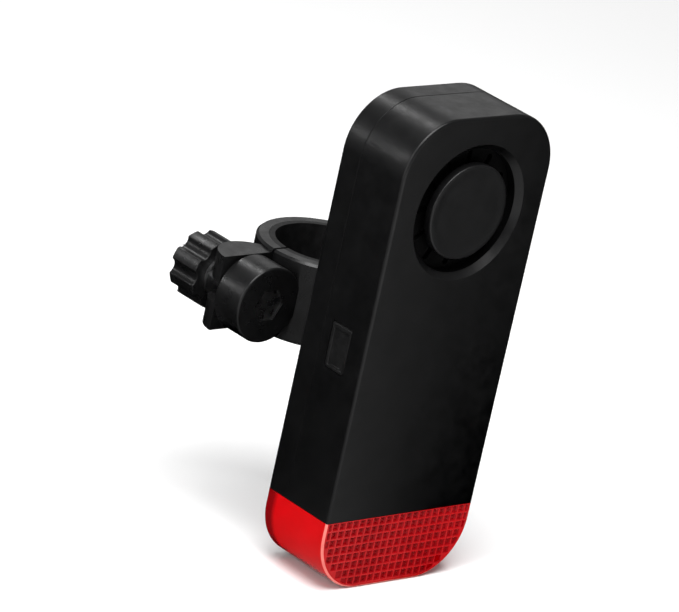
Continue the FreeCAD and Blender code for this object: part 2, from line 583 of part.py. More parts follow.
def makeTailLight():
    zTray = f"({zLens} - trayTop)"
    shape = ("-trayHalf", "trayHalf")
    leds = []
    for row in range(2):
        for column in range(-2, 3):
            middle, top = f"{column} * ledPitch", f"{zLens} - ledTop - {row} * ledRow"
            leds.append(cuboid(f"tail_led_{len(leds)}", f"{middle} - ledSide / 2", f"{middle} + ledSide / 2",
                               dBoard, f"{dBoard} + ledHeight", f"{top} - ledSide", top))
    return [
        cuboid("light_tray", *shape, f"{dLensScrew} + {bossRadius} + runGap", dBoardBack,
               f"{zTray} - trayHeight", zTray),
        cuboid("light_board", *shape, dBoardBack, dBoard, f"{zTray} - trayHeight", zTray),
        group("tail_leds", leds),
        cuboid("light_ribbon", "-ribbonHalf", "ribbonHalf", dBoard, f"{dBoard} + ribbonThickness",
               f"{zTray} - ribbonLap", f"{zBoard} + ribbonLap"),
    ]


def frontHalf(outline):
    reach = "2 * boxWidth"
    outline.rectangle(f"-{reach}", reach, "-splitGap / 2", reach)


def rearHalf(outline):
    reach = "2 * boxWidth"
    outline.rectangle(f"-{reach}", reach, f"-{reach}", "splitGap / 2")


def hingeRound(radius):
    return circles([(xHinge, "0")], radius)


def outerRim(edge):
    """Picks the upper and lower edges of the clamp's ring and neck, but not the split's."""
    box = edge.BoundBox
    level = box.ZLength < 1e-4 and abs(abs(box.ZMin) - value("clampHeight / 2")) < 1e-4
    return level and max(abs(box.YMin), abs(box.YMax)) > value("splitGap") and not atDepth(edge, value(dBack))


def makeSaddle():
    """The clamp's rear half, with its foot on the case, its bolt's lug and its outer hinge knuckles."""
    body = newBody("clamp_saddle")
    pad(body, "XY", zClamp, "clampHeight", circles([("0", "0")], ringOutside))
    pad(body, "XY", zClamp, "clampHeight",
        lambda o: o.rectangle("-neckWidth / 2", "neckWidth / 2", "-standOff", "0"))
    pocket(body, "XY", zClamp, "clampHeight", frontHalf)
    soften(body, "Chamfer", "clampEdge", outerRim)
    pad(body, "XZ", "splitGap / 2", "lugDepth", circles([(f"-{xBolt}", "0")], "lugRadius"))
    soften(body, "Fillet", "clampEdge", lambda e: atDepth(e, value("splitGap / 2 + lugDepth"))
           and abs(e.BoundBox.ZLength - value("2 * lugRadius")) < 2)
    pad(body, "XZ", "standOff - footThickness", "footThickness",
        lambda o: o.rounded("-footWidth / 2", "footWidth / 2", "-footHeight / 2", "footHeight / 2",
                            "footRound"))
    soften(body, "Fillet", "clampEdge", lambda e: atDepth(e, value("standOff - footThickness"))
           and max(abs(e.BoundBox.XMin), abs(e.BoundBox.XMax), abs(e.BoundBox.ZMax), abs(e.BoundBox.ZMin))
           > value("footWidth / 2 - footRound") + 0.01)
    pad(body, "XY", zClamp, "clampHeight", hingeRound("knuckleRadius"))
    pocket(body, "XY", "-midKnuckle / 2 - knuckleGap", "midKnuckle + 2 * knuckleGap",
           hingeRound("knuckleRadius + knuckleGap"))
    pocket(body, "XY", f"{zClamp} - 1", "clampHeight + 2", circles([("0", "0")], ringInside))
    pocket(body, "XY", f"{zClamp} - 1", "clampHeight + 2", hingeRound("pinRadius + fitGap"))
    pocket(body, "XZ", "0", "lugDepth + splitGap", circles([(f"-{xBolt}", "0")], "boltRadius + fitGap"))
    pocket(body, "XZ", "splitGap / 2 + lugDepth - hexSink", "hexSink + 1",
           hexagon(f"-{xBolt}", "0", "(hexFlats + 2 * fitGap)"))
    sink(body, "standOff - footThickness", footPlaces, "footBoltRadius + fitGap", "footHead + fitGap")
    return body


def makeJaw():
    """The clamp's front half, with its forked ear and its middle hinge knuckle."""
    body = newBody("clamp_jaw")
    pad(body, "XY", zClamp, "clampHeight", circles([("0", "0")], ringOutside))
    pocket(body, "XY", zClamp, "clampHeight", rearHalf)
    soften(body, "Chamfer", "clampEdge", outerRim)
    pad(body, "XY", "-earHeight / 2", "earHeight", circles([(f"-{xBolt}", "0")], "earRadius"))
    pocket(body, "XY", f"{zClamp} - 1", "clampHeight + 2", rearHalf)
    for low, high in ((zClamp, "-midKnuckle / 2"), ("midKnuckle / 2", "clampHeight / 2")):
        pocket(body, "XY", low, f"{high} - ({low})", hingeRound("knuckleRadius + knuckleGap"))
    pad(body, "XY", "-midKnuckle / 2", "midKnuckle", hingeRound("knuckleRadius"))
    pocket(body, "XY", f"{zClamp} - 1", "clampHeight + 2", circles([("0", "0")], ringInside))
    pocket(body, "XY", "-midKnuckle", "2 * midKnuckle", hingeRound("pinRadius + runGap"))
    # The fork is open to the side, so that the bolt can leave it as the jaw swings.
    slot = "(boltRadius + slotGap)"
    pocket(body, "XZ", "-earRadius - 1", "earRadius + 1", circles([(f"-{xBolt}", "0")], slot))
    pocket(body, "XZ", "-earRadius - 1", "earRadius + 1",
           lambda o: o.rectangle(f"-2 * {xBolt}", f"-{xBolt}", f"-{slot}", slot))
    return body


def makeLiners():
    made = []
    for label, half in (("saddle_liner", frontHalf), ("jaw_liner", rearHalf)):
        body = newBody(label)
        pad(body, "XY", zClamp, "clampHeight",
            rings("0", "0", "postDiameter / 2", f"{ringInside} - runGap"))
        pocket(body, "XY", zClamp, "clampHeight", half)
        made.append(body)
    return made


def makeClosing():
    """The hinge's pin, and the bolt with its washer, knob and threaded insert."""
    pin = join("hinge_pin", rod("hinge_pin_shank", "Z", xHinge, "0", zClamp, "pinRadius", "clampHeight"),
               rod("hinge_pin_head", "Z", xHinge, "0", "clampHeight / 2", "knuckleRadius - 1", "pinHead"))
    dHead = "(splitGap / 2 + lugDepth - hexSink)"
    bolt = newBody("clamp_bolt")
    pad(bolt, "XZ", dHead, "hexHead", hexagon(f"-{xBolt}", "0", "hexFlats"))
    pad(bolt, "XZ", "-boltReach", f"boltReach + {dHead}", circles([(f"-{xBolt}", "0")], "boltRadius"))
    soften(bolt, "Chamfer", "clampEdge", lambda e: atDepth(e, value("-boltReach")))
    washer = tube("thrust_washer", "depth", f"-{xBolt}", f"-{yWasher} - washerThickness", "0",
                  "boltRadius + 2 * runGap", "washerRadius", "washerThickness")
    knob = newBody("clamp_knob")
    pad(knob, "XZ", f"-{yKnob} - knobLength", "knobLength", circles([(f"-{xBolt}", "0")], "knobRadius"))
    soften(knob, "Fillet", "2 * edgeRound", lambda e: atDepth(e, value(f"-{yKnob} - knobLength")))
    grip = pocket(knob, "XZ", f"-{yKnob} - knobLength - 1", "knobLength + 2",
                  circles([(f"gripRadius - gripDepth + knobRadius - {xBolt}", "0")], "gripRadius"))
    turns = knob.newObject("PartDesign::PolarPattern", "clamp_knob_grips")
    turns.Originals = [grip]
    centre = knob.newObject("Sketcher::SketchObject", "clamp_knob_centre")
    plane = [f for f in knob.Origin.OriginFeatures if f.Role == "XZ_Plane"][0]
    centre.AttachmentSupport = [(plane, "")]
    centre.MapMode = "FlatFace"
    centre.setExpression("AttachmentOffset.Base.x", bound(f"-{xBolt}"))
    turns.Axis = (centre, ["N_Axis"])
    turns.Angle = 360
    turns.setExpression("Occurrences", bound("gripCount"))
    knob.Tip = turns
    pocket(knob, "XZ", f"-{yKnob} - knobLength - 1", "knobLength + 2",
           circles([(f"-{xBolt}", "0")], "boltRadius + slotGap"))
    pocket(knob, "XZ", f"-{yKnob} - insertLength", "insertLength + 1",
           circles([(f"-{xBolt}", "0")], "insertRadius"))
    insert = tube("knob_insert", "depth", f"-{xBolt}", f"-{yKnob} - insertLength", "0", "boltRadius + runGap",
                  "insertRadius - fitGap", "insertLength")
    return [pin, bolt, washer, knob, insert]


pieces = [makeFrontShell(), makeBackCover(), makeLens(), *makeSeals(), *makeScrews(), *makeSiren(),
          makePortCover(), *makeButton(), *makeElectronics(), *makeTailLight(), makeSaddle(),
          makeJaw(), *makeLiners(), *makeClosing()]
doc.recompute()

for item in doc.Objects:
    if "Invalid" in item.State or "Error" in item.State:
        raise ValueError(f"{item.Label} failed: {item.State}")
for piece in pieces:
    if piece.Shape.isNull() or not piece.Shape.isValid() or not piece.Shape.Solids:
        raise ValueError(f"{piece.Label} has no sound solid")

os.makedirs("parts", exist_ok=True)
for piece in pieces:
    piece.Shape.exportStep(f"parts/{piece.Label}.step")
    size = piece.Shape.BoundBox
    print(f"{piece.Label}: {len(piece.Shape.Solids)} solids, {size.XLength:.2f} x {size.YLength:.2f} x "
          f"{size.ZLength:.2f} mm")
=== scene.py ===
import math

import bmesh
import bpy
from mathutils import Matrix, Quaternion, Vector


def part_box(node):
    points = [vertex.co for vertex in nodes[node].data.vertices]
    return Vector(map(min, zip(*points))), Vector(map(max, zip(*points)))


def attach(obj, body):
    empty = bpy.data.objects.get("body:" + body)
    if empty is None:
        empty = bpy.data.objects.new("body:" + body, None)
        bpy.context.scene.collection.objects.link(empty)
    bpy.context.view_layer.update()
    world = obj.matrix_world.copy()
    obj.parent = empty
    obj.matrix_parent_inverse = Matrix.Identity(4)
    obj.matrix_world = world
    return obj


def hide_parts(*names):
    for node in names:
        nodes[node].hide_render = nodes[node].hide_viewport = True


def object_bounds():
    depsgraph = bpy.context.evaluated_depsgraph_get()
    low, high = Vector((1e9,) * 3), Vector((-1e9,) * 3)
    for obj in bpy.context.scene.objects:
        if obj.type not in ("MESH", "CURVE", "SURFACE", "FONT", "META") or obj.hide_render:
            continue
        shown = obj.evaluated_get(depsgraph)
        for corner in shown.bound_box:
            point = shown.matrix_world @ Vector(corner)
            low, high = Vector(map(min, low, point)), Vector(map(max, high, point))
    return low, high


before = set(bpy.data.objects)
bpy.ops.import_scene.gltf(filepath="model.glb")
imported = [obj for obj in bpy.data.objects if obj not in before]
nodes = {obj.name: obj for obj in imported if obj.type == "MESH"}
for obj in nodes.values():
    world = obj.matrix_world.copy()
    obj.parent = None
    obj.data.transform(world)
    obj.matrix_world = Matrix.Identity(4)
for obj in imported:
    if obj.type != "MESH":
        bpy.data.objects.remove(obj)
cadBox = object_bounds()
mm = 0.001
touch = 1e-6  # metres apart, and still the same place
straight, square = 0.999, 0.1  # cosines: the same direction, and about a right angle
print("frame loaded:", len(nodes), "nodes")


# materials

def newMaterial(name, **sockets):
    material = bpy.data.materials.new(name)
    material.use_nodes = True
    shader = material.node_tree.nodes["Principled BSDF"]
    for socket, amount in sockets.items():
        shader.inputs[socket.replace("_", " ")].default_value = amount
    return material, shader


def addNode(material, kind, **settings):
    node = material.node_tree.nodes.new("ShaderNode" + kind)
    for key, amount in settings.items():
        if key.startswith("in_"):
            node.inputs[key[3:].replace("_", " ")].default_value = amount
        else:
            setattr(node, key, amount)
    return node


def wire(material, start, end):
    material.node_tree.links.new(start, end)


def objectPlace(material, turn=(0, 0, 0)):
    place = addNode(material, "TexCoord")
    mapping = addNode(material, "Mapping")
    mapping.inputs["Rotation"].default_value = turn
    wire(material, place.outputs["Object"], mapping.inputs["Vector"])
    return mapping.outputs["Vector"]


def noise(material, place, size, detail=3, rough=0.5):
    made = addNode(material, "TexNoise")
    made.inputs["Scale"].default_value = 1 / size
    made.inputs["Detail"].default_value = detail
    made.inputs["Roughness"].default_value = rough
    wire(material, place, made.inputs["Vector"])
    return made.outputs["Fac"]


def ramp(material, factor, low, high, start=0.35, end=0.65):
    made = addNode(material, "MapRange")
    made.inputs["From Min"].default_value = start
    made.inputs["From Max"].default_value = end
    made.inputs["To Min"].default_value = low
    made.inputs["To Max"].default_value = high
    wire(material, factor, made.inputs["Value"])
    return made.outputs["Result"]


def colours(material, factor, low, high):
    made = addNode(material, "ValToRGB")
    for stop, position, colour in zip(made.color_ramp.elements, (0.3, 0.7), (low, high)):
        stop.position, stop.color = position, (*colour, 1)
    wire(material, factor, made.inputs["Fac"])
    return made.outputs["Color"]


def bump(material, height, depth):
    made = addNode(material, "Bump")
    made.inputs["Distance"].default_value = depth
    wire(material, height, made.inputs["Height"])
    return made.outputs["Normal"]


# moulded plastic: spark texture from the tool, faint flow shade and uneven gloss
flowSize, glossSize = 9 * mm, 3.1 * mm
plasticLooks = {
    "case_plastic": {"dark": (0.0016, 0.0016, 0.0018), "light": (0.0032, 0.0032, 0.0034),
                     "grain": 0.24 * mm, "depth": 0.012 * mm, "gloss": (0.31, 0.40), "level": 0.3},
    "siren_plastic": {"dark": (0.0032, 0.0032, 0.0034), "light": (0.0056, 0.0056, 0.0059),
                      "grain": 0.16 * mm, "depth": 0.008 * mm, "gloss": (0.32, 0.42), "level": 0.3},
    "clamp_plastic": {"dark": (0.0030, 0.0030, 0.0031), "light": (0.0070, 0.0070, 0.0073),
                      "grain": 0.5 * mm, "depth": 0.012 * mm, "gloss": (0.26, 0.38), "level": 0.3},
    "inner_plastic": {"dark": (0.012, 0.012, 0.013), "light": (0.022, 0.022, 0.023),
                      "grain": 0.4 * mm, "depth": 0.015 * mm, "gloss": (0.4, 0.55), "level": 0.4},
    "tray_white": {"dark": (0.70, 0.70, 0.68), "light": (0.82, 0.82, 0.80),
                   "grain": 0.5 * mm, "depth": 0.010 * mm, "gloss": (0.3, 0.45), "level": 0.5},
}


def makePlastic(name, look):
    material, shader = newMaterial(name, Specular_IOR_Level=look["level"])
    place = objectPlace(material)
    shade = noise(material, place, flowSize, detail=2)
    wire(material, colours(material, shade, look["dark"], look["light"]), shader.inputs["Base Color"])
    uneven = noise(material, place, glossSize, detail=4, rough=0.6)
    wire(material, ramp(material, uneven, *look["gloss"]), shader.inputs["Roughness"])
    grain = noise(material, place, look["grain"], detail=2, rough=0.7)
    wire(material, bump(material, grain, look["depth"]), shader.inputs["Normal"])
    return material


# rubber: dull and a little dusty
rubberLook = {"dark": (0.0020, 0.0020, 0.0021), "light": (0.0055, 0.0055, 0.0057), "gloss": (0.48, 0.62),
              "dust": 2.2 * mm, "grain": 0.3 * mm, "depth": 0.02 * mm}


def makeRubber(name):
    material, shader = newMaterial(name, Specular_IOR_Level=0.25)
    place = objectPlace(material)
    dust = noise(material, place, rubberLook["dust"], detail=5, rough=0.65)
    wire(material, colours(material, dust, rubberLook["dark"], rubberLook["light"]), shader.inputs["Base Color"])
    wire(material, ramp(material, dust, *rubberLook["gloss"]), shader.inputs["Roughness"])
    grain = noise(material, place, rubberLook["grain"], detail=3)
    wire(material, bump(material, grain, rubberLook["depth"]), shader.inputs["Normal"])
    return material


# metal: clouded by handling, with fine marks
metalLooks = {
    "steel": {"dark": (0.48, 0.48, 0.49), "light": (0.58, 0.58, 0.58), "gloss": (0.25, 0.34)},
    "brass": {"dark": (0.60, 0.40, 0.14), "light": (0.70, 0.48, 0.18), "gloss": (0.24, 0.34)},
    "cell_foil": {"dark": (0.45, 0.46, 0.48), "light": (0.62, 0.63, 0.65), "gloss": (0.3, 0.5)},
}
metalGrain = {"cloud": 2.4 * mm, "marks": 0.12 * mm, "depth": 0.0015 * mm}


def makeMetal(name, look):
    material, shader = newMaterial(name, Metallic=1.0)
    place = objectPlace(material)
    cloud = noise(material, place, metalGrain["cloud"], detail=3)
    wire(material, colours(material, cloud, look["dark"], look["light"]), shader.inputs["Base Color"])
    wire(material, ramp(material, cloud, *look["gloss"]), shader.inputs["Roughness"])
    marks = noise(material, place, metalGrain["marks"], detail=2)
    wire(material, bump(material, marks, metalGrain["depth"]), shader.inputs["Normal"])
    return material


# lens reds: the smooth cup, the grid's ribs, the grid's sunk cells in a darker red as painted shade, and the
# rounded front edge in a pale pinkish red as a painted highlight; band is the colour at the lens's back
lensReds = {
    "lens_red": {"dark": (0.44, 0.0, 0.0010), "light": (0.50, 0.0, 0.0018), "band": (0.10, 0.0, 0.001)},
    "lens_cells_shaded": {"dark": (0.24, 0.0, 0.0018), "light": (0.34, 0.0005, 0.003), "band": (0.24, 0.0, 0.0018)},
    "lens_ribs": {"dark": (0.44, 0.007, 0.009), "light": (0.52, 0.014, 0.016), "band": (0.46, 0.012, 0.014)},
    "lens_edge_highlight": {"dark": (0.70, 0.14, 0.12), "light": (0.82, 0.26, 0.22), "band": (0.30, 0.01, 0.01)},
}
lensGrain = {"cloud": 7 * mm, "ripple": 2.5 * mm, "depth": 0.02 * mm, "bandStart": -27.2 * mm,
             "bandEnd": -25.6 * mm, "bandShare": 0.8}


def makeLensRed(name, look):
    material, shader = newMaterial(name, Roughness=0.14, Specular_IOR_Level=0.22)
    place = objectPlace(material)
    cloud = noise(material, place, lensGrain["cloud"], detail=2)
    band = addNode(material, "Mix", data_type="RGBA")
    split = addNode(material, "SeparateXYZ")
    wire(material, place, split.inputs["Vector"])
    share = ramp(material, split.outputs["Y"], 0.0, lensGrain["bandShare"], lensGrain["bandStart"],
                 lensGrain["bandEnd"])
    wire(material, share, band.inputs["Factor"])
    wire(material, colours(material, cloud, look["dark"], look["light"]), band.inputs["A"])
    band.inputs["B"].default_value = (*look["band"], 1)
    wire(material, band.outputs["Result"], shader.inputs["Base Color"])
    ripple = noise(material, place, lensGrain["ripple"], detail=1)
    wire(material, bump(material, ripple, lensGrain["depth"]), shader.inputs["Normal"])
    return material


# circuit board: green varnish over copper areas, parted by paler tracks
boardLook = {"area": 6 * mm, "track": 0.02, "greens": ((0.004, 0.075, 0.028, 1), (0.006, 0.105, 0.040, 1)),
             "trackGreen": (0.020, 0.170, 0.070, 1), "weave": 0.5 * mm, "depth": 0.01 * mm}


def makeBoard(name):
    material, shader = newMaterial(name, Roughness=0.35, Coat_Weight=0.3)
    place = objectPlace(material)
    tracks = addNode(material, "TexBrick")
    tracks.inputs["Scale"].default_value = 1 / boardLook["area"]
    tracks.inputs["Color1"].default_value, tracks.inputs["Color2"].default_value = boardLook["greens"]
    tracks.inputs["Mortar"].default_value = boardLook["trackGreen"]
    tracks.inputs["Mortar Size"].default_value = boardLook["track"]
    turned = objectPlace(material, turn=(math.radians(90), 0, 0))
    wire(material, turned, tracks.inputs["Vector"])
    wire(material, tracks.outputs["Color"], shader.inputs["Base Color"])
    weave = noise(material, place, boardLook["weave"], detail=2)
    wire(material, bump(material, weave, boardLook["depth"]), shader.inputs["Normal"])
    return material


finishes = {name: makePlastic(name, look) for name, look in plasticLooks.items()}
finishes["rubber"] = makeRubber("rubber")
finishes.update({name: makeMetal(name, look) for name, look in metalLooks.items()})
finishes.update({name: makeLensRed(name, look) for name, look in lensReds.items()})
finishes["board_green"] = makeBoard("board_green")
# slots that share a near finish
finishes["chip_black"] = finishes["inner_plastic"]
finishes["foam"] = finishes["rubber"]
finishes["mesh_cloth"] = finishes["rubber"]
finishes["led_resin"] = finishes["tray_white"]
finishes["ribbon"] = finishes["brass"]

# painted shade: the grille lies in the siren's shadow, so it gets a duller and blacker copy of the siren plastic
# than the cap
finishes["grille_painted_shade"] = makePlastic("grille_painted_shade", dict(
    plasticLooks["siren_plastic"], dark=(0.0006, 0.0006, 0.0007), light=(0.0016, 0.0016, 0.0017),
    gloss=(0.55, 0.7), level=0.08))

for node in nodes.values():
    for slot in node.material_slots:
        slot.material = finishes[slot.material.name.split(".")[0]]
for slot in nodes["siren_grille"].material_slots:
    slot.material = finishes["grille_painted_shade"]
print("materials made")


# small helpers for modelling by hand: one piece at a time, parts picked by place or direction

def only(piece):
    bpy.ops.object.select_all(action="DESELECT")
    piece.select_set(True)
    bpy.context.view_layer.objects.active = piece


def settle(piece, name):
    piece.name = piece.data.name = name
    bpy.ops.object.transform_apply(location=True, rotation=True, scale=True)
    return piece


def addBlock(name, low, high):
    bpy.ops.object.select_all(action="DESELECT")
    low, high = Vector(low), Vector(high)
    bpy.ops.mesh.primitive_cube_add(size=1, location=(low + high) / 2, scale=high - low)
    return settle(bpy.context.object, name)


def addRod(name, centre, radius, length, axis="Y", sides=64, tip=None):
    bpy.ops.object.select_all(action="DESELECT")
    turn = {"X": (0, math.pi / 2, 0), "Y": (-math.pi / 2, 0, 0)}[axis]
    bpy.ops.mesh.primitive_cone_add(vertices=sides, radius1=radius, radius2=radius if tip is None else tip,
                                    depth=length, location=centre, rotation=turn)
    return settle(bpy.context.object, name)


def edit(piece):
    only(piece)
    bpy.ops.object.mode_set(mode="EDIT")


def leave():
    bpy.ops.object.mode_set(mode="OBJECT")


def pick(piece, kind, wanted):
    bpy.ops.mesh.select_mode(type=kind)
    bpy.ops.mesh.select_all(action="DESELECT")
    mesh = bmesh.from_edit_mesh(piece.data)
    for part in {"FACE": mesh.faces, "EDGE": mesh.edges, "VERT": mesh.verts}[kind]:
        if wanted(part):
            part.select_set(True)
    bmesh.update_edit_mesh(piece.data)


def middle(part):
    if hasattr(part, "calc_center_median"):
        return part.calc_center_median()
    return (part.verts[0].co + part.verts[1].co) / 2


def runsAlong(edge, axis):
    line = edge.verts[1].co - edge.verts[0].co
    return line.length > 0 and abs(line.normalized()[axis]) > straight


def lies(edge, axis, place):
    return all(abs(point.co[axis] - place) < touch for point in edge.verts)


# true for a face that looks along an axis, forwards (1) or backwards (-1)
def looks(face, axis, way):
    return way * face.normal[axis] > straight


# true for a face that an axis runs along
def stands(face, axis):
    return abs(face.normal[axis]) < square


def useModifier(piece, kind, **settings):
    only(piece)
    modifier = piece.modifiers.new(kind.lower(), kind)
    for key, amount in settings.items():
        setattr(modifier, key, amount)
    bpy.ops.object.modifier_apply(modifier=modifier.name)


def cut(piece, cutter):
    useModifier(piece, "BOOLEAN", operation="DIFFERENCE", object=cutter, solver="EXACT")
    bpy.data.objects.remove(cutter)


def joinPieces(piece, others):
    only(piece)
    for other in others:
        other.select_set(True)
    bpy.ops.object.join()


weld, flatAngle = 0.002 * mm, 0.2  # points this near become one; faces this level, in degrees, become one


# a copy of a node as one closed mesh, to be worked on like any other piece
def copyNode(node, name):
    piece = nodes[node].copy()
    piece.data = nodes[node].data.copy()
    bpy.context.scene.collection.objects.link(piece)
    piece.parent = None
    for key in list(piece.keys()):
        del piece[key]
    piece.name = piece.data.name = name
    piece.data.materials.clear()
    edit(piece)
    bpy.ops.mesh.select_all(action="SELECT")
    bpy.ops.mesh.remove_doubles(threshold=weld)
    bpy.ops.mesh.customdata_custom_splitnormals_clear()
    bpy.ops.mesh.dissolve_limited(angle_limit=math.radians(flatAngle))
    leave()
    return piece


def softenEdges(piece, width, segments=3, angle=32):
    useModifier(piece, "BEVEL", width=width, segments=segments, limit_method="ANGLE",
                angle_limit=math.radians(angle), use_clamp_overlap=True)


def finishPiece(piece, finish, body, replaced, angle=30):
    only(piece)
    bpy.ops.object.shade_smooth_by_angle(angle=math.radians(angle))
    useModifier(piece, "WEIGHTED_NORMAL", keep_sharp=True)
    if not piece.data.materials:
        piece.data.materials.append(finishes[finish])
    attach(piece, body)
    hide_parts(*replaced)
    print("made", piece.name, len(piece.data.polygons), "faces")


# case: both shells, with the fine gap lines where shell, cover and lens meet

caseSize = {"gapEdge": 0.22 * mm, "centre": Vector((0, -34.5 * mm, 10 * mm)), "level": 0.01 * mm,
            "skin": 2 * mm}


def makeShell(node, name, planes):
    shell = copyNode(node, name)

    # an edge of the outer skin: level with a gap, beside a face that looks away from the case's centre
    def onGap(edge):
        for axis, place in planes:
            if all(abs(point.co[axis] - place) < caseSize["level"] for point in edge.verts):
                away = middle(edge) - caseSize["centre"]
                for face in edge.link_faces:
                    if stands(face, axis) and face.normal.dot(away) > caseSize["skin"]:
                        return True
        return False

    edit(shell)
    pick(shell, "EDGE", onGap)
    bpy.ops.mesh.bevel(offset=caseSize["gapEdge"], segments=2, affect="EDGES")
    leave()
    finishPiece(shell, "case_plastic", "unit", [node])


parting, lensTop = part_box("front_shell")[1].y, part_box("front_shell")[0].z
makeShell("front_shell", "frontShell", [(1, parting), (2, lensTop)])
makeShell("back_cover", "backCover", [(1, parting), (2, lensTop)])


# screws: cross recesses in the countersunk heads

recessSize = {"wide": 0.55 * mm, "deep": 0.9 * mm, "edge": 0.08 * mm, "apart": 7 * mm,
              "coverReach": 2.8 * mm, "footReach": 3.2 * mm}


# the middle of each screw head, from the points of its top face
def screwPlaces(piece):
    top = max(point.co.y for point in piece.data.vertices)
    places = []
    for point in piece.data.vertices:
        if abs(point.co.y - top) < caseSize["level"]:
            near = [p for p in places if (p[0] - point.co.xz).length < recessSize["apart"]]
            if near:
                near[0][1].append(point.co.xz)
            else:
                places.append((point.co.xz, [point.co.xz]))
    return [sum(found, Vector((0, 0))) / len(found) for _, found in places]


def makeScrews(node, name, reach):
    screws = copyNode(node, name)
    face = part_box(node)[1].y
    for place in screwPlaces(screws):
        for long, wide in ((reach, recessSize["wide"]), (recessSize["wide"], reach)):
            slot = addBlock("slot", (place.x - long / 2, face - recessSize["deep"], place.y - wide / 2),
                            (place.x + long / 2, face + recessSize["deep"], place.y + wide / 2))
            cut(screws, slot)
    softenEdges(screws, recessSize["edge"], segments=2, angle=50)
    finishPiece(screws, "steel", "unit", [node])


makeScrews("cover_screws", "coverScrews", recessSize["coverReach"])
makeScrews("foot_screws", "footScrews", recessSize["footReach"])


# tail lens: an open cup with a reflector grid on its front

lensSize = {"cornerRadius": 15.4 * mm, "cornerSteps": 28, "edgeRound": 0.8 * mm, "edgeLean": (-0.95, -0.3),
            "pitch": 50 / 22 * mm, "rib": 0.22 * mm, "slope": 0.36 * mm, "sink": 0.45 * mm, "peak": 0.3 * mm,
            "wall": 1.8 * mm, "mouth": 0.2 * mm, "cornerShare": 0.5, "leastEdge": 0.1 * mm}


# true when every edge of a face keeps some length after an inset
def roomy(face, inset):
    for loop in face.loops:
        corners = (loop.calc_angle(), loop.link_loop_next.calc_angle())
        lost = inset * sum(1 / math.tan(corner / 2) for corner in corners)
        if loop.edge.calc_length() - lost < lensSize["leastEdge"]:
            return False
    return True


# selected faces of the piece being edited get one more finish
def giveSlot(piece, finish):
    if finish not in piece.data.materials:
        piece.data.materials.append(finishes[finish])
    piece.active_material_index = piece.data.materials.find(finish)
    bpy.ops.object.material_slot_assign()


def makeTailLens():
    low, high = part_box("tail_lens")
    lens = addBlock("tailLens", low, high)
    edit(lens)
    pick(lens, "EDGE", lambda e: runsAlong(e, 1) and lies(e, 2, low.z))
    bpy.ops.mesh.bevel(offset=lensSize["cornerRadius"], segments=lensSize["cornerSteps"], affect="EDGES")
    pick(lens, "FACE", lambda f: looks(f, 2, 1))
    bpy.ops.mesh.delete(type="FACE")
    pick(lens, "EDGE", lambda e: (lies(e, 1, low.y) or lies(e, 1, high.y)) and not lies(e, 2, high.z))
    bpy.ops.mesh.bevel(offset=lensSize["edgeRound"], segments=5, affect="EDGES")
    leave()
    useModifier(lens, "SOLIDIFY", thickness=lensSize["wall"], offset=-1, use_even_offset=True)
    inside = lensSize["wall"] / 2

    def front(face):
        return looks(face, 1, -1) and abs(middle(face).y - low.y) < touch

    def onMouth(edge):
        if not lies(edge, 2, high.z) or any(front(face) for face in edge.link_faces):
            return False
        x, y = middle(edge).xy
        onWall = low.x + inside < x < high.x - inside and low.y + inside < y < high.y - inside
        return not onWall and (runsAlong(edge, 0) or runsAlong(edge, 1))

    lens.data.materials.append(finishes["lens_red"])
    edit(lens)
    pick(lens, "FACE", front)
    giveSlot(lens, "lens_ribs")
    # the faces of the rounded front edge take the pale pinkish red: a painted highlight
    steepest, flattest = lensSize["edgeLean"]
    pick(lens, "FACE", lambda f: steepest < f.normal.y < flattest and middle(f).y < low.y + lensSize["edgeRound"])
    giveSlot(lens, "lens_edge_highlight")
    pick(lens, "EDGE", onMouth)
    bpy.ops.mesh.bevel(offset=lensSize["mouth"], segments=2, affect="EDGES")
    columns, rows = int((high.x - low.x) / lensSize["pitch"]), int((high.z - low.z) / lensSize["pitch"])
    for axis, count, start in ((0, columns, (low.x + high.x - columns * lensSize["pitch"]) / 2),
                               (2, rows, high.z - rows * lensSize["pitch"])):
        across = Vector([float(i == axis) for i in range(3)])
        for line in range(count + 1):
            pick(lens, "FACE", front)
            bpy.ops.mesh.bisect(plane_co=across * (start + line * lensSize["pitch"]), plane_no=across)
    pick(lens, "VERT", lambda v: abs(v.co.y - low.y) < touch)
    bpy.ops.mesh.remove_doubles(threshold=lensSize["rib"])
    # whole cells first, then shallower ones in what the rounded corners leave
    for share in (1, lensSize["cornerShare"]):
        rib, slope = lensSize["rib"] * share, lensSize["slope"] * share
        pick(lens, "FACE", lambda f: front(f) and roomy(f, rib + slope))
        bpy.ops.mesh.inset(thickness=rib, use_individual=True)
        # the sunk cells take the darker red: painted shade in their hollows
        giveSlot(lens, "lens_cells_shaded")
        bpy.ops.mesh.inset(thickness=slope, depth=-lensSize["sink"] * share, use_individual=True)
        bpy.ops.mesh.poke(offset=lensSize["peak"] * share)
    leave()
    finishPiece(lens, "lens_red", "unit", ["tail_lens"], angle=20)


makeTailLens()


# siren cap: flush disc on its stem, with a soft rim and a faintly dished face

capSize = {"radius": 12.65 * mm, "thickness": 2.2 * mm, "stem": 3.0 * mm, "rim": 0.5 * mm,
           "border": 1.1 * mm, "dish": 0.12 * mm}


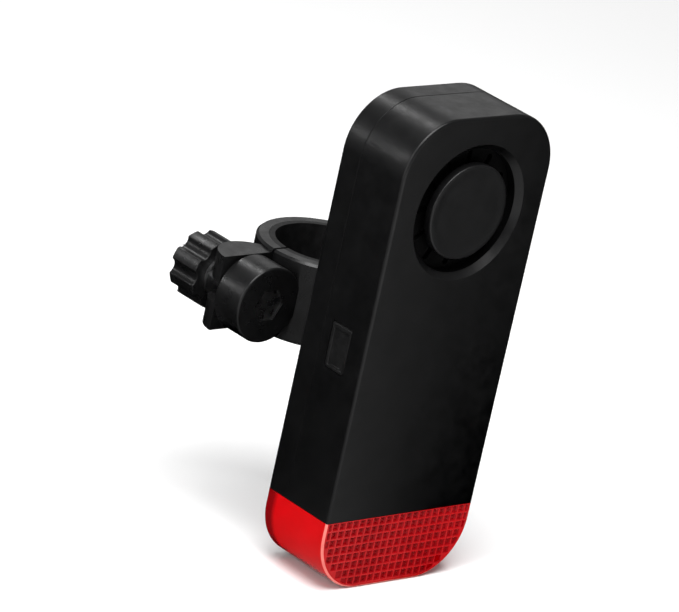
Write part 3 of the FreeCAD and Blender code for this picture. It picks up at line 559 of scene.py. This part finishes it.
def makeSirenCap():
    low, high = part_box("siren_cap")
    x, z = (low.x + high.x) / 2, (low.z + high.z) / 2
    cap = addRod("sirenCap", (x, low.y + capSize["thickness"] / 2, z), capSize["radius"],
                 capSize["thickness"], sides=128)
    edit(cap)
    pick(cap, "EDGE", lambda e: lies(e, 1, low.y))
    bpy.ops.mesh.bevel(offset=capSize["rim"], segments=5, affect="EDGES")
    pick(cap, "FACE", lambda f: looks(f, 1, -1) and abs(middle(f).y - low.y) < touch)
    bpy.ops.mesh.inset(thickness=capSize["border"])
    bpy.ops.mesh.inset(thickness=2 * capSize["border"], depth=-capSize["dish"])
    pick(cap, "FACE", lambda f: looks(f, 1, 1))
    bpy.ops.mesh.inset(thickness=capSize["radius"] - capSize["stem"])
    stem = high.y - low.y - capSize["thickness"]
    bpy.ops.mesh.extrude_region_move(TRANSFORM_OT_translate={"value": (0, stem, 0)})
    leave()
    finishPiece(cap, "siren_plastic", "unit", ["siren_cap"])


makeSirenCap()


# port flap: rubber door with a raised border, a finger lip, two pins and a plug

flapSize = {"corner": 1.05 * mm, "edge": 0.18 * mm, "border": 0.7 * mm, "sink": 0.22 * mm, "leaf": 1.7 * mm,
            "pinRadius": 0.6 * mm, "pinReach": 0.7 * mm, "plug": (2.6 * mm, 8.4 * mm), "plugRound": 2.2,
            "lip": (3.2 * mm, 0.5 * mm, 0.6 * mm), "hinge": 0.85 * mm}


def makePortFlap():
    low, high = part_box("port_cover")
    y = (low.y + high.y) / 2
    half = (high.y - low.y) / 2 - flapSize["pinReach"]
    leafBack, hingeLine = low.x + flapSize["leaf"], high.z - flapSize["hinge"]
    flap = addBlock("portFlap", (low.x, y - half, low.z), (leafBack, y + half, high.z))
    edit(flap)
    pick(flap, "EDGE", lambda e: runsAlong(e, 0) and lies(e, 2, low.z))
    bpy.ops.mesh.bevel(offset=flapSize["corner"], segments=8, affect="EDGES")
    pick(flap, "EDGE", lambda e: runsAlong(e, 1) and lies(e, 2, high.z))
    bpy.ops.mesh.bevel(offset=flapSize["leaf"] / 2, segments=8, affect="EDGES")
    pick(flap, "FACE", lambda f: looks(f, 0, -1))
    bpy.ops.mesh.inset(thickness=flapSize["border"])
    bpy.ops.mesh.inset(thickness=flapSize["sink"], depth=-flapSize["sink"])
    leave()
    softenEdges(flap, flapSize["edge"])
    wide, tall = flapSize["plug"]
    plug = addBlock("plug", (leafBack, y - wide / 2, -tall / 2), (high.x, y + wide / 2, tall / 2))
    softenEdges(plug, wide / flapSize["plugRound"], segments=6)
    pins = addRod("pins", (low.x + flapSize["leaf"] / 2, y, hingeLine), flapSize["pinRadius"], high.y - low.y,
                  sides=32)
    softenEdges(pins, flapSize["edge"])
    wide, thick, tall = flapSize["lip"]
    lip = addBlock("lip", (low.x, y - wide / 2, low.z + flapSize["border"]),
                   (low.x + thick, y + wide / 2, low.z + flapSize["border"] + tall))
    softenEdges(lip, flapSize["edge"])
    joinPieces(flap, [plug, pins, lip])
    finishPiece(flap, "rubber", "port_flap", ["port_cover"])


makePortFlap()


# power button: stadium cap with a dished face and a raised dot, on its flange

buttonSize = {"tall": 10.0 * mm, "wide": 5.0 * mm, "flange": 1.0 * mm, "crown": 0.45 * mm, "border": 0.7 * mm,
              "dish": 0.25 * mm, "edge": 0.15 * mm, "dot": 0.55 * mm, "dotHeight": 0.22 * mm, "dotTip": 0.7}


# a rod along X whose two halves are pulled apart to a long round-ended shape
def addStadium(name, centre, wide, tall, thick):
    piece = addRod(name, centre, wide / 2, thick, axis="X", sides=64)
    stretch = (tall - wide) / 2
    for side in (1, -1):
        edit(piece)
        pick(piece, "VERT", lambda v: side * (v.co.z - centre[2]) > touch)
        bpy.ops.transform.translate(value=(0, 0, side * stretch))
        leave()
    return piece


def makePowerButton():
    low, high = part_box("power_button")
    y, z = (low.y + high.y) / 2, (low.z + high.z) / 2
    button = addStadium("powerButton", ((low.x + high.x) / 2, y, z), buttonSize["wide"], buttonSize["tall"],
                        high.x - low.x)
    edit(button)
    pick(button, "FACE", lambda f: looks(f, 0, 1))
    bpy.ops.mesh.inset(thickness=buttonSize["crown"] + buttonSize["border"])
    bpy.ops.mesh.inset(thickness=buttonSize["dish"], depth=-buttonSize["dish"])
    pick(button, "EDGE", lambda e: lies(e, 0, high.x) and any(stands(f, 0) for f in e.link_faces))
    bpy.ops.mesh.bevel(offset=buttonSize["crown"], segments=5, affect="EDGES")
    leave()
    flange = addStadium("flange", (low.x + buttonSize["flange"] / 2, y, z), high.y - low.y, high.z - low.z,
                        buttonSize["flange"])
    softenEdges(flange, buttonSize["edge"])
    dotBase = high.x - buttonSize["dish"]
    dot = addRod("dot", (dotBase + buttonSize["dotHeight"] / 2, y, z), buttonSize["dot"],
                 buttonSize["dotHeight"], axis="X", sides=32, tip=buttonSize["dotTip"] * buttonSize["dot"])
    joinPieces(button, [flange, dot])
    finishPiece(button, "rubber", "button", ["power_button"])


makePowerButton()


# clamp knob: eight finger grips, soft edges, a sunk face round the bolt

knobSize = {"radius": 9.0 * mm, "grips": 8, "gripRadius": 2.2 * mm, "gripDepth": 1.3 * mm, "bore": 2.8 * mm,
            "edge": 0.55 * mm, "faceRim": 1.9 * mm, "faceSink": 1.0 * mm, "insert": 3.4 * mm,
            "insertDepth": 5.0 * mm, "cutEdge": 0.15 * mm}


def makeKnob():
    low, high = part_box("clamp_knob")
    x, z, y = (low.x + high.x) / 2, (low.z + high.z) / 2, (low.y + high.y) / 2
    long, radius = high.y - low.y, knobSize["radius"]
    knob = addRod("clampKnob", (x, y, z), radius, long, sides=128)
    reach = radius + knobSize["gripRadius"] - knobSize["gripDepth"]
    for grip in range(knobSize["grips"]):
        turn = 2 * math.pi * grip / knobSize["grips"]
        place = (x + reach * math.cos(turn), y, z + reach * math.sin(turn))
        cut(knob, addRod("grip", place, knobSize["gripRadius"], 2 * long, sides=48))
    softenEdges(knob, knobSize["edge"], segments=4, angle=40)
    dish = radius - knobSize["gripDepth"] - knobSize["faceRim"]
    cut(knob, addRod("dish", (x, high.y, z), dish, 2 * knobSize["faceSink"], sides=96))
    cut(knob, addRod("bore", (x, y, z), knobSize["bore"], 2 * long, sides=64))
    cut(knob, addRod("seat", (x, low.y, z), knobSize["insert"], 2 * knobSize["insertDepth"], sides=64))
    softenEdges(knob, knobSize["cutEdge"], segments=2, angle=60)
    finishPiece(knob, "clamp_plastic", "knob", ["clamp_knob"], angle=35)


makeKnob()


# clamp: saddle and jaw with their moulded edges rounded

clampEdge = 0.35 * mm


def makeClampPart(node, name, body):
    part = copyNode(node, name)
    softenEdges(part, clampEdge, segments=3, angle=50)
    finishPiece(part, "clamp_plastic", body, [node], angle=35)


makeClampPart("clamp_saddle", "clampSaddle", "unit")
makeClampPart("clamp_jaw", "clampJaw", "jaw")


# floor, light and camera

# glow: how bright the floor is in mirror-like reflections, on axes turned by some degrees: it grows from left to
# right, fades between two places and grows again towards the edge
stage = {"floor": 6.0, "pale": 0.92, "sky": 1.0, "skyShade": 0.22, "far": (0.35, 1.1),
         "glow": {"right": 0.85, "left": 0.0, "reach": 0.06, "fade": -0.15, "from": -0.062, "to": -0.022,
                  "edge": 0.6, "edgeFrom": -0.10, "edgeTo": -0.26, "turn": 45}}


# a shader for one kind of ray, and another for the rest
def byRay(tree, ray, plain, seen, output):
    rays = tree.nodes.new("ShaderNodeLightPath")
    mix = tree.nodes.new("ShaderNodeMixShader")
    tree.links.new(rays.outputs[ray], mix.inputs["Fac"])
    tree.links.new(plain, mix.inputs[1])
    tree.links.new(seen, mix.inputs[2])
    tree.links.new(mix.outputs["Shader"], output)


# a pale floor; in the black plastic it mirrors as a soft dark sheet, lighter to the front right and far front left
def makeFloor():
    bpy.ops.object.select_all(action="DESELECT")
    bpy.ops.mesh.primitive_plane_add(size=stage["floor"], location=(0, 0, cadBox[0].z))
    floor = bpy.context.object
    floor.name = "floor"
    material, shader = newMaterial("floor", Roughness=0.9, Specular_IOR_Level=0.1)
    shader.inputs["Base Color"].default_value = (stage["pale"],) * 3 + (1,)
    glow = stage["glow"]
    place = addNode(material, "TexCoord").outputs["Object"]
    turned = addNode(material, "VectorRotate", rotation_type="Z_AXIS")
    turned.inputs["Angle"].default_value = math.radians(glow["turn"])
    wire(material, place, turned.inputs["Vector"])
    split = addNode(material, "SeparateXYZ")
    wire(material, turned.outputs["Vector"], split.inputs["Vector"])
    forward = ramp(material, split.outputs["X"], glow["left"], glow["right"], -glow["reach"], glow["reach"])
    sideways = ramp(material, split.outputs["Y"], 1.0, glow["fade"], glow["from"], glow["to"])
    edge = ramp(material, split.outputs["Y"], 0.0, glow["edge"], glow["edgeFrom"], glow["edgeTo"])
    both = addNode(material, "Math", operation="MULTIPLY_ADD")
    wire(material, forward, both.inputs[0])
    wire(material, sideways, both.inputs[1])
    wire(material, edge, both.inputs[2])
    emit = addNode(material, "Emission")
    wire(material, both.outputs["Value"], emit.inputs["Strength"])
    far = addNode(material, "VectorMath", operation="LENGTH")
    wire(material, place, far.inputs[0])
    horizon = addNode(material, "Emission", in_Strength=stage["sky"])
    plain = addNode(material, "MixShader")
    wire(material, ramp(material, far.outputs["Value"], 0, 1, *stage["far"]), plain.inputs["Fac"])
    wire(material, shader.outputs["BSDF"], plain.inputs[1])
    wire(material, horizon.outputs["Emission"], plain.inputs[2])
    byRay(material.node_tree, "Is Glossy Ray", plain.outputs["Shader"], emit.outputs["Emission"],
          material.node_tree.nodes["Material Output"].inputs["Surface"])
    floor.data.materials.append(material)


def makeWorld():
    world = bpy.data.worlds.new("studio")
    bpy.context.scene.world = world
    world.use_nodes = True
    tree = world.node_tree
    tree.nodes["Background"].inputs["Color"].default_value = (stage["skyShade"],) * 3 + (1,)
    pale = tree.nodes.new("ShaderNodeBackground")
    pale.inputs["Color"].default_value = (stage["sky"],) * 3 + (1,)
    byRay(tree, "Is Camera Ray", tree.nodes["Background"].outputs[0], pale.outputs[0],
          tree.nodes["World Output"].inputs["Surface"])


def addSoftbox(name, place, aim, size, power):
    light = bpy.data.lights.new(name, "AREA")
    light.shape = "RECTANGLE"
    light.size, light.size_y = size
    light.energy = power
    lamp = bpy.data.objects.new(name, light)
    bpy.context.scene.collection.objects.link(lamp)
    lamp.location = place
    lamp.rotation_mode = "QUATERNION"
    lamp.rotation_quaternion = (Vector(aim) - Vector(place)).to_track_quat("-Z", "Y")


makeFloor()
makeWorld()
# each softbox: where it hangs, its two sides and its power; all look at one point of the case
softboxes = {
    "overhead": ((-0.25, -0.25, 0.9), (0.7, 0.7), 14),
    "frontLeft": ((-0.80, -0.22, 0.30), (0.14, 0.5), 2.6),
    "backRight": ((0.62, 0.62, 0.42), (0.5, 0.3), 0.35),
    "topStreak": ((0.10, 0.60, 0.67), (0.05, 0.4), 1.2),
    "sideStreak": ((-0.62, 0.60, 0.26), (0.4, 0.04), 0.8),
}
lightAim = (0, -0.02, 0)
for name, (place, size, power) in softboxes.items():
    addSoftbox(name, place, lightAim, size, power)

cameraSet = {"azimuth": -45.2, "elevation": 19.9, "roll": 12.4, "distance": 1.28, "lens": 268.0,
             "aim": (-0.003, -0.012, -0.001), "near": 0.05, "far": 20}


def makeCamera():
    azimuth, elevation = math.radians(cameraSet["azimuth"]), math.radians(cameraSet["elevation"])
    back = Vector((math.sin(azimuth) * math.cos(elevation), -math.cos(azimuth) * math.cos(elevation),
                   math.sin(elevation)))
    camera = bpy.data.objects.new("camera", bpy.data.cameras.new("camera"))
    bpy.context.scene.collection.objects.link(camera)
    camera.data.lens = cameraSet["lens"]
    camera.data.clip_start, camera.data.clip_end = cameraSet["near"], cameraSet["far"]
    camera.location = Vector(cameraSet["aim"]) + back * cameraSet["distance"]
    camera.rotation_mode = "QUATERNION"
    roll = Quaternion((0, 0, 1), math.radians(cameraSet["roll"]))
    camera.rotation_quaternion = (-back).to_track_quat("-Z", "Y") @ roll
    bpy.context.scene.camera = camera


makeCamera()
bpy.context.scene.view_settings.view_transform = "Standard"
print("stage set")
